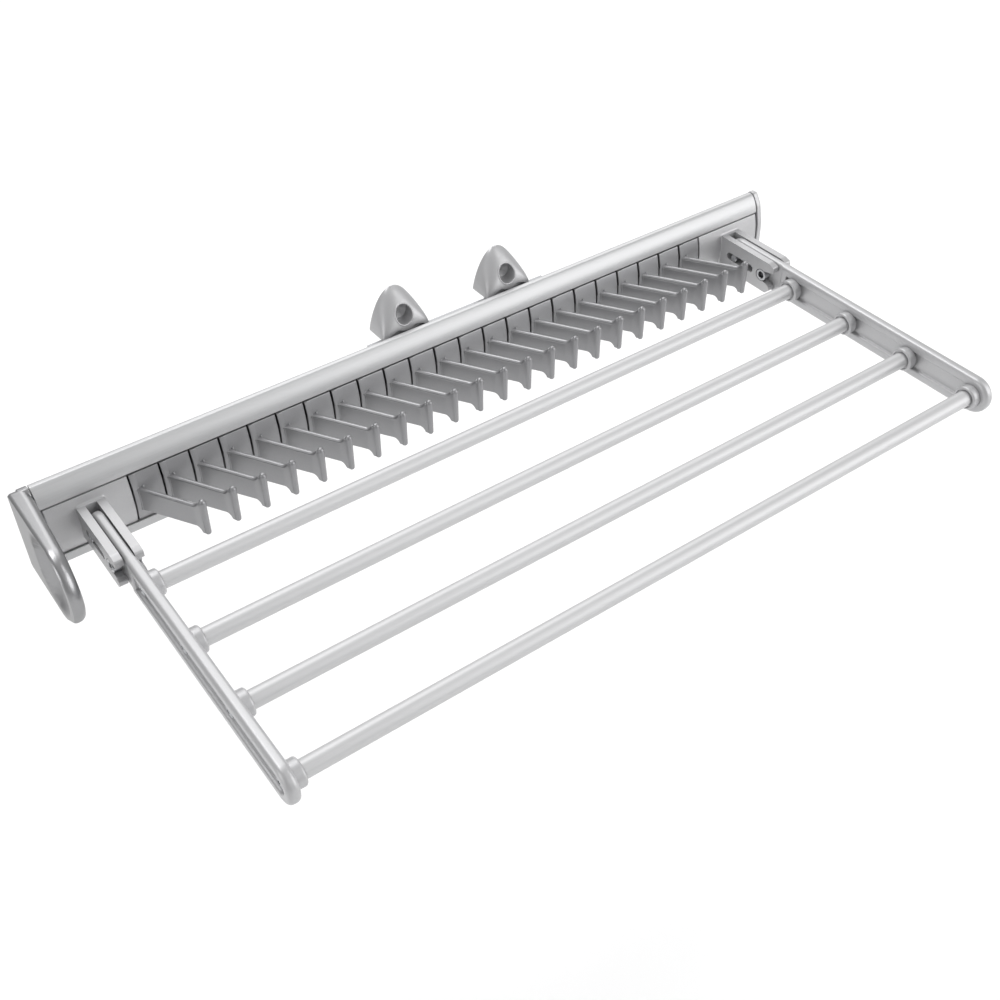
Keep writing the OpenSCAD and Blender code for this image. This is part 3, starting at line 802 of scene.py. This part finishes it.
def rootSkirt(centre, sizes):
    # fillet round the root, where the casting flows into its tile
    half, low, high = sizes["width"] / 2, sizes["bottomRoot"], sizes["top"]
    corners = [(centre - half, low), (centre + half, low), (centre + half, high), (centre - half, high)]
    root = anticlockwise(roundedOutline([(x, v, sizes["rootRadius"]) for x, v in corners], 4))
    within, sink = sizes["skirt"]
    rings = []
    for k in range(7):
        away = sizes["rootFillet"] * k / 6
        ring = insetOutline(root, -flare(away, sizes["rootFillet"]) + within)
        rings.append([Vector((p.x, -tileFace(hookSizes, p.y) - away + sink, p.y)) for p in ring])
    first = [Vector((p.x, 0, p.z)) for p in rings[0]]
    last = [Vector((p.x, min(p.y for p in rings[-1]) - 0.01, p.z)) for p in rings[-1]]
    return loft([first] + rings + [last])


def makeClevis(name, node, centre, tileStart, tileEnd, sizes):
    half, gap = sizes["width"] / 2, sizes["mouth"] / 2
    cheeks = [extrude(cheekOutline(sizes), centre + a, centre + b) for a, b in ((-half, -gap), (gap, half))]
    back, front = sizes["back"], -sizes["bridge"]
    low, high = sizes["bottomRoot"], sizes["top"]
    bridge = [(back, low), (back, high), (front, high), (front, low - sizes["bridgeSlope"])]
    bite = sizes["bridgeBite"]
    body = combine(extrude(bridge, centre - gap - bite, centre + gap + bite), cheeks)
    slot = extrude(slotOutline(sizes), centre - half - 1, centre + half + 1)
    body = combine(body, [slot], "DIFFERENCE", bevel=sizes["edge"])
    tile = extrude(tileOutline(hookSizes), tileStart, tileEnd, hookSizes["tileEdge"])
    casting = combine(tile, [body, rootSkirt(centre, sizes)])
    # the skirt also fills the gap between the cheeks, so this opens it again
    reach, depth, height = sizes["opening"]
    opening = [(front, -depth), (front, height), (-reach, height), (-reach, -depth)]
    casting = combine(casting, [extrude(opening, centre - gap, centre + gap)], "DIFFERENCE")
    makePiece(name, casting, "beam", "silver_casting", node)


def makeBushes(name, node, centre, sizes):
    thick = (sizes["width"] - sizes["mouth"]) / 2
    outer, bore = sizes["bushDiameter"] / 2, sizes["bushBore"] / 2
    inside, outside = sizes["bushRound"]
    corners = [(bore, 0, inside), (outer, 0, outside), (outer, thick, outside), (bore, thick, inside)]
    profile = roundedOutline(corners, 3)
    starts = (centre - sizes["width"] / 2, centre + sizes["mouth"] / 2)
    bushes = [moved(ringLathe(profile), pointX(x, -sizes["jaw"], sizes["axis"])) for x in starts]
    makePiece(name, gather(bushes), "beam", "steel", node)


leftX = clevisSizes["fromEnd"]
rightX = beamSizes["length"] - clevisSizes["fromEnd"]
tileGap = hookSizes["gap"] / 2
leftTile = (clevisSizes["endGap"][0], hookSizes["firstTile"] - tileGap)
rightTile = (hookSizes["firstTile"] + hookCount * hookSizes["pitch"] + tileGap,
             beamSizes["length"] - clevisSizes["endGap"][1])
makeClevis("clevisLeft", "clevis_left", leftX, *leftTile, clevisSizes)
makeClevis("clevisRight", "clevis_right", rightX, *rightTile, clevisSizes)
makeBushes("bushesLeft", "stop_bushes_left", leftX, clevisSizes)
makeBushes("bushesRight", "stop_bushes_right", rightX, clevisSizes)
print("clevises made")


# Hinge pins: turned, with chamfered ends

pinSizes = {"diameter": 5, "length": 15.3, "chamfer": 0.45}


def makePin(name, node, sizes):
    r, half, soft = sizes["diameter"] / 2, sizes["length"] / 2, sizes["chamfer"]
    end = [(r, half - soft), (r - soft, half), (0, half)]
    profile = [(radius, -height) for radius, height in end[::-1]] + end
    pin = moved(lathe(profile), pointX(*nodeCentre(node)))
    makePiece(name, pin, "hinge_pins", "steel", node, 30)


makePin("hingePinLeft", "hinge_pin_left", pinSizes)
makePin("hingePinRight", "hinge_pin_right", pinSizes)
print("hinge pins made")


# Arms: a thick round-edged rim round a thin web, with a slimmer tongue at the hinge

armSizes = {
    "radius": 11.2,
    "width": 6.5,
    "tongueWidth": 5.1,
    "tongue": 37.2,
    "tongueEnd": 43,
    "tongueRound": 1.9,
    "tongueTurn": 86,
    "web": 2.1,
    "rim": 5.8,
    "outerRound": 2.5,
    "innerRound": 1.1,
    "webFillet": 1.0,
    "firstRod": 49.9,
    "rodPitch": 46.7,
    "pinDiameter": 5.1,
    "boreHalf": 5,
}


def armRing(sizes, inset, x, steps=14):
    # one closed line of the rim: a straight end at the tongue and a round one at the last rod
    start = sizes["tongue"] + inset
    far = sizes["firstRod"] + 3 * sizes["rodPitch"]
    r = sizes["radius"] - inset
    ring = [(start, -r + 2 * r * k / 8) for k in range(8)]
    ring += [(start + (far - start) * k / 24, r) for k in range(24)]
    for k in range(2 * steps):
        angle = math.pi * k / (2 * steps)
        ring.append((far + r * math.sin(angle), r * math.cos(angle)))
    ring += [(far - (far - start) * k / 24, -r) for k in range(24)]
    return [Vector((x, -p, w)) for p, w in ring]


def makeArm(name, node, centre, sizes):
    halfW, halfWeb = sizes["width"] / 2, sizes["web"] / 2
    rim, outer, inner, fillet = sizes["rim"], sizes["outerRound"], sizes["innerRound"], sizes["webFillet"]
    profile = [(outer * (1 - math.cos(a)), halfW - outer + outer * math.sin(a)) for a in quarterTurn(6)]
    profile += [(rim - inner + inner * math.sin(a), halfW - inner + inner * math.cos(a)) for a in quarterTurn(4)]
    profile += [(rim + fillet * (1 - math.cos(a)), halfWeb + fillet * (1 - math.sin(a))) for a in quarterTurn(4)]
    rings = [armRing(sizes, inset, -x) for inset, x in profile[::-1]]
    rings += [armRing(sizes, inset, x) for inset, x in profile]
    reach, r, turn = sizes["tongueEnd"], sizes["radius"], sizes["tongueTurn"]
    stadium = [(-reach, -r), (0, -r)] + arc((0, 0), r, -turn, turn, 28) + [(0, r), (-reach, r)]
    tongue = extrude(stadium, -sizes["tongueWidth"] / 2, sizes["tongueWidth"] / 2, sizes["tongueRound"], 6)
    boreR, deep = sizes["pinDiameter"] / 2, sizes["boreHalf"]
    bore = moved(lathe([(0, -deep), (boreR, -deep), (boreR, deep), (0, deep)], 32), pointX(0, 0, 0))
    arm = combine(combine(loft(rings), [tongue]), [bore], "DIFFERENCE")
    pin = nodeCentre("hinge_pin_left")
    moved(arm, Matrix.Translation((centre, pin.y, pin.z)))
    makePiece(name, arm, "trouser_frame", "silver_casting", node)


makeArm("armLeft", "arm_left", leftX, armSizes)
makeArm("armRight", "arm_right", rightX, armSizes)
print("arms made")


# Rods and collars

rodSizes = {"diameter": 9.5, "wall": 1.2, "chamfer": 0.3}

collarSizes = {
    "bore": 4.8,
    "neck": 5.35,
    "outer": 7.1,
    "base": 3.35,
    "baseRound": 0.2,
    "reach": 8.5,
    "round": 1.3,
    "recess": 0.95,
    "recessDepth": 1.1,
    "recessDraft": 0.1,
    "recessRound": (0.35, 0.2),
}


def makeRod(name, node, sizes):
    low, high = nodeBox(node)
    half = (high.x - low.x) / 2
    r, soft = sizes["diameter"] / 2, sizes["chamfer"]
    bore = r - sizes["wall"]
    profile = [(r, -half + soft), (r, half - soft), (r - soft, half)]
    profile += [(bore, half), (bore, -half), (r - soft, -half)]
    rod = moved(ringLathe(profile, 64), pointX(*nodeCentre(node)))
    makePiece(name, rod, "trouser_frame", "satin_tube", node, 30)


def makeCollar(name, node, side, sizes):
    lip = sizes["bore"] + sizes["recess"]
    web = armSizes["web"] / 2
    floor = sizes["reach"] - sizes["recessDepth"]
    mouthRound, floorRound = sizes["recessRound"]
    outline = roundedOutline([
        (sizes["bore"], web, 0),
        (sizes["neck"], web, 0),
        (sizes["neck"], sizes["base"], 0),
        (sizes["outer"], sizes["base"], sizes["baseRound"]),
        (sizes["outer"], sizes["reach"], sizes["round"]),
        (lip, sizes["reach"], mouthRound),
        (lip - sizes["recessDraft"], floor, floorRound),
        (sizes["bore"], floor, 0),
    ], 5)
    x = leftX if side < 0 else rightX
    place = pointX(x, nodeCentre(node).y, nodeCentre("hinge_pin_left").z, -side)
    collar = moved(ringLathe(outline, 56), place)
    makePiece(name, collar, "trouser_frame", "silver_moulding", node)


# Small pan-head screws that hold the rods from outside the arms

screwSizes = {
    "shank": 1.75,
    "domeShare": 0.45,
    "recessLength": 2.6,
    "recessWidth": 0.75,
    "recessDepth": 0.8,
}


def makeRodScrews(name, node, side, sizes):
    low, high = nodeBox(node)
    centreX = leftX if side < 0 else rightX
    inner, outer = (high.x, low.x) if side < 0 else (low.x, high.x)
    web = centreX + side * armSizes["web"] / 2
    v = (low.z + high.z) / 2
    headR = (high.z - low.z) / 2
    height = abs(outer - web)
    flat = height * (1 - sizes["domeShare"])
    profile = [(0, -abs(inner - web)), (sizes["shank"], -abs(inner - web)), (sizes["shank"], 0), (headR, 0)]
    profile += [(headR * math.cos(a), flat + (height - flat) * math.sin(a)) for a in quarterTurn(6)[:-1]]
    profile.append((0, height))
    # the cross recess is cut by two bars
    ends = sorted((outer + side, outer - side * sizes["recessDepth"]))
    a, b = sizes["recessLength"] / 2, sizes["recessWidth"] / 2
    screws = []
    for i in range(4):
        u = low.y + headR + i * armSizes["rodPitch"]
        bars = [[(u + p * long, v + q * wide) for p, q in ((-1, -1), (1, -1), (1, 1), (-1, 1))]
                for long, wide in ((a, b), (b, a))]
        screw = moved(lathe(profile, 32), pointX(web, u, v, side))
        screws.append(combine(screw, [extrude(bar, *ends) for bar in bars], "DIFFERENCE"))
    makePiece(name, gather(screws), "trouser_frame", "zinc_screws", node, 30)


makeRodScrews("rodScrewsLeft", "rod_screws_left", -1, screwSizes)
makeRodScrews("rodScrewsRight", "rod_screws_right", 1, screwSizes)
for i in range(1, 5):
    makeRod(f"trouserRod_{i}", f"trouser_rod_{i}", rodSizes)
    makeCollar(f"rodCollarLeft_{i}", f"rod_collar_left_{i}", -1, collarSizes)
    makeCollar(f"rodCollarRight_{i}", f"rod_collar_right_{i}", 1, collarSizes)
print("rods and collars made")


# Handle: a thick round-edged end plate with a finger dish in its outer face

handleSizes = {
    "gap": 0.7,
    "thickness": 10.2,
    "taper": 3.0,         # the grip gets this much thinner from the beam to its front
    "taperReach": 57,
    "outerRound": 2.5,
    "outerTurn": 50,      # degrees that the outer rounding turns before it meets the face in a crease
    "innerRound": 4.5,
    # circles that the outline wraps: (u, v, radius)
    "circles": [
        (6.6, 8.2, 3.2),
        (6.6, -36.8, 3.2),
        (-42.2, -9.8, 21.5),
        (-52.2, -22.8, 6.3),
        (-32.3, -20.3, 19.7),
    ],
    "leastRadius": 0.05,
    "middle": (-26, -14),
    "dishCentre": (-36, -12),
    "dishSize": (20, 24),
    "dishTilt": 26.7,
    "dishDepth": 5.6,
    "dishWall": 2.4,      # 1 would be a round bowl; more makes the wall steeper and the floor flatter
    "dishSoftness": 0.04,
    "flange": 5.4,
    "flangeOut": 0.1,
    "flangeEdge": 0.4,
    "flangeEase": (6, 12),
}


def wrapCircles(sizes, inset, count=180, between=6):
    # outline of a band stretched round the circles, drawn in by inset
    points = []
    for k in range(count):
        angle = 2 * math.pi * k / count
        way = Vector((math.cos(angle), math.sin(angle)))
        u, v, r = max(sizes["circles"], key=lambda c: c[0] * way.x + c[1] * way.y + c[2])
        points.append((Vector((u, v)) + way * max(r - inset, sizes["leastRadius"]), (u, v)))
    outline = []
    for (here, owner), (after, nextOwner) in zip(points, points[1:] + points[:1]):
        outline.append(here)
        if owner != nextOwner:
            outline += [here.lerp(after, m / between) for m in range(1, between)]
    return outline


def dishDepthAt(p, sizes):
    # depth of the finger dish under the handle's outer face, running out softly at its rim
    turn = math.radians(sizes["dishTilt"])
    du, dv = p.x - sizes["dishCentre"][0], p.y - sizes["dishCentre"][1]
    across = (du * math.cos(turn) + dv * math.sin(turn)) / sizes["dishSize"][0]
    along = (-du * math.sin(turn) + dv * math.cos(turn)) / sizes["dishSize"][1]
    inside = 1 - across ** 2 - along ** 2
    soft = (inside + math.hypot(inside, sizes["dishSoftness"])) / 2
    return sizes["dishDepth"] * (1 - max(1 - soft, 0) ** sizes["dishWall"])


def flangeOutline(sizes, beam, tiles):
    # the beam's profile with its tiles, without its grooves and slot, grown a little
    front = lipFront(beam)
    ease, radius = sizes["flangeEase"]
    corners = [
        (-beam["lowerLipOut"], -beam["drop"], beam["dropRadius"]),
        (-tiles["bulge"], -tiles["tileHeight"] + ease, radius),
        (-tiles["bulge"], -ease, radius),
    ]
    corners += [(p.x, p.y, 0) for p in front[2:]]
    corners += [
        (front[-1].x + beam["lipTopRun"], beam["lipHeight"], beam["lipTopRadius"]),
        (beam["depth"], beam["lipHeight"], beam["lipBackRadius"]),
        (beam["depth"], -beam["drop"], beam["dropRadius"]),
    ]
    return insetOutline(anticlockwise(roundedOutline(corners, 6)), -sizes["flangeOut"])


def makeHandle(sizes):
    inner = -sizes["gap"]
    outer = inner - sizes["thickness"]
    soft, crisp = sizes["innerRound"], sizes["outerRound"]
    last = math.radians(sizes["outerTurn"])
    rings = []
    for angle in quarterTurn(12):
        drawn = wrapCircles(sizes, soft * (1 - math.sin(angle)))
        leans = [sizes["taper"] * max(-p.x / sizes["taperReach"], 0) for p in drawn]
        sink = soft * (1 - math.cos(angle))
        rings.append([Vector((inner - lean - sink, p.x, p.y)) for p, lean in zip(drawn, leans)])
    for k in range(7):
        angle = last * k / 6
        drawn = wrapCircles(sizes, crisp * (1 - math.cos(angle)))
        start = outer + crisp * (math.sin(last) - math.sin(angle))
        rings.append([Vector((start + dishDepthAt(p, sizes), p.x, p.y)) for p in drawn])
    # the dished face, in rings that shrink to its middle
    face = wrapCircles(sizes, crisp * (1 - math.cos(last)))
    middle = Vector(sizes["middle"])
    for k in range(1, 40):
        drawn = [p.lerp(middle, k / 40) for p in face]
        rings.append([Vector((outer + dishDepthAt(p, sizes), p.x, p.y)) for p in drawn])
    outline = flangeOutline(sizes, beamSizes, hookSizes)
    flange = extrude(outline, inner - sizes["flange"], inner, sizes["flangeEdge"])
    handle = combine(loft(rings), [flange])
    makePiece("pullHandle", handle, "beam", "silver_handle", "front_handle", 30)


makeHandle(handleSizes)
print("handle made")


# Rear end cap

capSizes = {
    "gap": 0.7,
    "thickness": 4.2,
    "innerRound": 0.3,
    "outerRound": 1.6,
    # front outline, from the top down: (u, v, radius of the corner)
    "corners": [
        (10.6, 11.7, 2.6),
        (5.2, 11.7, 1.6),
        (0.6, 5, 12),
        (-2.7, -8, 26),
        (-3.0, -20, 30),
        (-1.3, -38.4, 0.9),
        (10.6, -38.4, 0.9),
    ],
}


def makeCap(sizes):
    start = beamSizes["length"] + sizes["gap"]
    outline = anticlockwise(roundedOutline(sizes["corners"], 8))
    small, soft = sizes["innerRound"], sizes["outerRound"]
    rings = [[alongBeam(p.x, p.y, start) for p in insetOutline(outline, small)],
             [alongBeam(p.x, p.y, start + small) for p in outline]]
    for angle in quarterTurn(6):
        x = start + sizes["thickness"] - soft * (1 - math.sin(angle))
        rings.append([alongBeam(p.x, p.y, x) for p in insetOutline(outline, soft * (1 - math.cos(angle)))])
    makePiece("rearEndCap", loft(rings), "beam", "silver_moulding", "rear_cap", 30)


makeCap(capSizes)
print("end cap made")


# Wall brackets: a fin that leans back to the wall, with a deep screw recess

bracketSizes = {
    "footHalf": 16.5,
    "sidePower": 1.3,
    "nosePower": 0.8,
    "squareness": (2.1, 9),   # 2 is a round section; at its foot it is this much squarer
    "leastHalf": 1.6,
    "leastDeep": 1.0,
    "recess": 11.4,
    "sink": 9.2,
    "sinkDeep": 2.4,
    "hole": 4.5,
    "holeDeep": 5.0,
    "drill": (-1, 40),        # where the screw's cutter starts and ends, from the wall
    "padHalf": 8.5,
    "archHalf": 14.5,
    "archHeight": 4.0,
    "archDeep": 13,
    "bossRadius": 8.9,
    "mouthRound": 0.55,       # the bright rolled edge round the mouth of the screw recess
    "mouthSink": 0.2,
    "mouthOut": 0.1,
    "overlap": 0.5,
    "beyond": 2,              # how far a cutter runs past what it cuts
}


def bracketShape(z, reach, sizes):
    # half width, depth and roundness of a bracket's level section at that height
    wall, nose, foot, top = reach
    part = (z - foot) / (top - foot)
    half = max(sizes["footHalf"] * math.sqrt(max(1 - part ** sizes["sidePower"], 0)), sizes["leastHalf"])
    deep = max((wall - nose) * max(1 - part ** 2, 0) ** sizes["nosePower"], sizes["leastDeep"])
    least, extra = sizes["squareness"]
    return half, deep, 2 / (least + extra * (1 - part) ** 3)


def bracketSection(z, reach, sizes):
    # level section of a bracket: nearly square at its foot, round towards its top
    half, deep, power = bracketShape(z, reach, sizes)
    ring = []
    for k in range(49):
        angle = math.pi * k / 48
        c, s = math.cos(angle), math.sin(angle)
        x = half * math.copysign(abs(c) ** power, c)
        ring.append(Vector((x, reach[0] - deep * abs(s) ** power, z)))
    return ring


def mouthRim(screw, radius, reach, sizes):
    # a fine round bead where the screw recess opens through the bracket's curved face
    rings = []
    for k in range(72):
        turn = 2 * math.pi * k / 72
        out = Vector((math.cos(turn), 0, math.sin(turn)))
        x, z = radius * out.x, screw + radius * out.z
        half, deep, power = bracketShape(z, reach, sizes)
        c = min(abs(x) / half, 1) ** (1 / power)
        face = reach[0] - deep * math.sqrt(1 - c ** 2) ** power
        centre = Vector((x, face + sizes["mouthSink"], z))
        ring = []
        for m in range(12):
            b = 2 * math.pi * m / 12
            ring.append(centre + sizes["mouthRound"] * (out * math.cos(b) + Vector((0, math.sin(b), 0))))
        rings.append(ring)
    return closedLoft(rings)


def screwCutter(screw, wall, sizes):
    # the screw hole, its countersink and the wide recess in front of it
    into = Matrix.Translation((0, wall, screw)) @ Matrix.Rotation(math.radians(90), 4, "X")
    hole, sink, wide = sizes["hole"] / 2, sizes["sink"] / 2, sizes["recess"] / 2
    deep, far = sizes["holeDeep"], sizes["holeDeep"] + sizes["sinkDeep"]
    start, end = sizes["drill"]
    profile = [(0, start), (hole, start), (hole, deep), (sink, far), (wide, far), (wide, end), (0, end)]
    return moved(lathe(profile), into)


def archCutter(screw, foot, nose, wall, sizes):
    # the arch at the foot, which leaves a round boss under the screw
    half, boss = sizes["archHalf"], sizes["bossRadius"]
    line = []
    for k in range(41):
        across = half * (2 * k / 40 - 1)
        rise = foot + sizes["archHeight"] * (1 - abs(across / half) ** 3)
        under = screw - math.sqrt(boss ** 2 - across ** 2) if abs(across) < boss else rise
        line.append((across, min(rise, under)))
    below = foot - sizes["beyond"]
    outline = [(-half, below)] + line + [(half, below)]
    return extrude(outline, nose - sizes["beyond"], wall - sizes["archDeep"],
                   place=lambda a, b, depth: Vector((a, depth, b)))


def makeBracket(name, node, sizes):
    low, high = nodeBox(node)
    track = nodeBox("runner_track")[1]
    wall, nose = high.y, low.y
    foot, top = track.z, high.z
    screw = (fromMetres @ Vector((0, 0, 0))).z
    levels = [foot + (top - foot) * math.sin(angle) for angle in quarterTurn(30)]
    reach = (wall, nose, foot, top)
    fin = loft([bracketSection(z, reach, sizes) for z in levels])
    over = foot + sizes["overlap"]
    pad = extrude([(track.y, low.z), (wall, low.z), (wall, over), (track.y, over)],
                  -sizes["padHalf"], sizes["padHalf"])
    rim = mouthRim(screw, sizes["recess"] / 2 + sizes["mouthOut"], reach, sizes)
    cutters = [archCutter(screw, foot, nose, wall, sizes), screwCutter(screw, wall, sizes)]
    bracket = combine(combine(fin, cutters, "DIFFERENCE"), [pad, rim])
    moved(bracket, Matrix.Translation(((low.x + high.x) / 2, 0, 0)))
    makePiece(name, bracket, "wall_mount", "silver_casting", node)


makeBracket("bracketFront", "bracket_front", bracketSizes)
makeBracket("bracketRear", "bracket_rear", bracketSizes)
print("brackets made")


# The CAD pieces that keep their shape get their finishes here


def dressNode(name, slot):
    node = frame["nodes"][name]
    node.data.materials.clear()
    node.data.materials.append(materials[slot])


for record in frame["record"]["subparts"]:
    dressNode(record["node"], record["material_slot"])
print("CAD pieces dressed")


# Studio

studio = {
    "floorDrop": 0.35,
    "floorHalf": 8,
    "floorColour": "#fbfbfb",
    "worldLevel": 0.42,
    "aim": (0, -0.1, 0),
    "distance": 3.0,
    # soft boxes round the rack: (degrees from +X towards +Y, degrees up, width, brightness)
    "softBoxes": [
        (60, 40, 2.2, 2.1),
        (110, 64, 1.3, 6.5),
        (-50, 20, 2.2, 3.0),
        (-40, 56, 0.8, 4.0),
        (180, 14, 1.4, 2.6),
    ],
}


def addFloor(sizes):
    # matt white card, so pale that it shows as the white ground
    material, tree = newMaterial("paleFloor")
    shader = addNode(tree, "ShaderNodeBsdfDiffuse", {"Color": hexColour(sizes["floorColour"])})
    addNode(tree, "ShaderNodeOutputMaterial", None, {"Surface": shader.outputs[0]})
    bm = bmesh.new()
    bmesh.ops.create_grid(bm, x_segments=1, y_segments=1, size=sizes["floorHalf"])
    mesh = bpy.data.meshes.new("paleFloor")
    bm.to_mesh(mesh)
    bm.free()
    mesh.materials.append(material)
    floor = placeObject("paleFloor", mesh)
    floor.location.z = cadBounds[0][2] - sizes["floorDrop"]


def addSoftBox(name, azimuth, elevation, width, brightness, sizes):
    data = bpy.data.lights.new(name, "AREA")
    data.shape = "SQUARE"
    data.size = width
    data.energy = brightness * math.pi * width ** 2
    lamp = placeObject(name, data)
    turn, lift = math.radians(azimuth), math.radians(elevation)
    way = Vector((math.cos(turn) * math.cos(lift), math.sin(turn) * math.cos(lift), math.sin(lift)))
    lamp.location = Vector(sizes["aim"]) + way * sizes["distance"]
    lamp.rotation_euler = (-way).to_track_quat("-Z", "Y").to_euler()


def addWorld(sizes):
    # an even, plain studio
    world = bpy.data.worlds.new("plainStudio")
    world.use_nodes = True
    tree = world.node_tree
    tree.nodes.clear()
    light = addNode(tree, "ShaderNodeBackground", {
        "Color": (1, 1, 1, 1), "Strength": sizes["worldLevel"],
    })
    addNode(tree, "ShaderNodeOutputWorld", None, {"Surface": light.outputs[0]})
    bpy.context.scene.world = world


addFloor(studio)
for i, softBox in enumerate(studio["softBoxes"]):
    addSoftBox(f"softBox_{i + 1}", *softBox, studio)
addWorld(studio)
bpy.context.scene.view_settings.view_transform = "Standard"
print("studio lit")
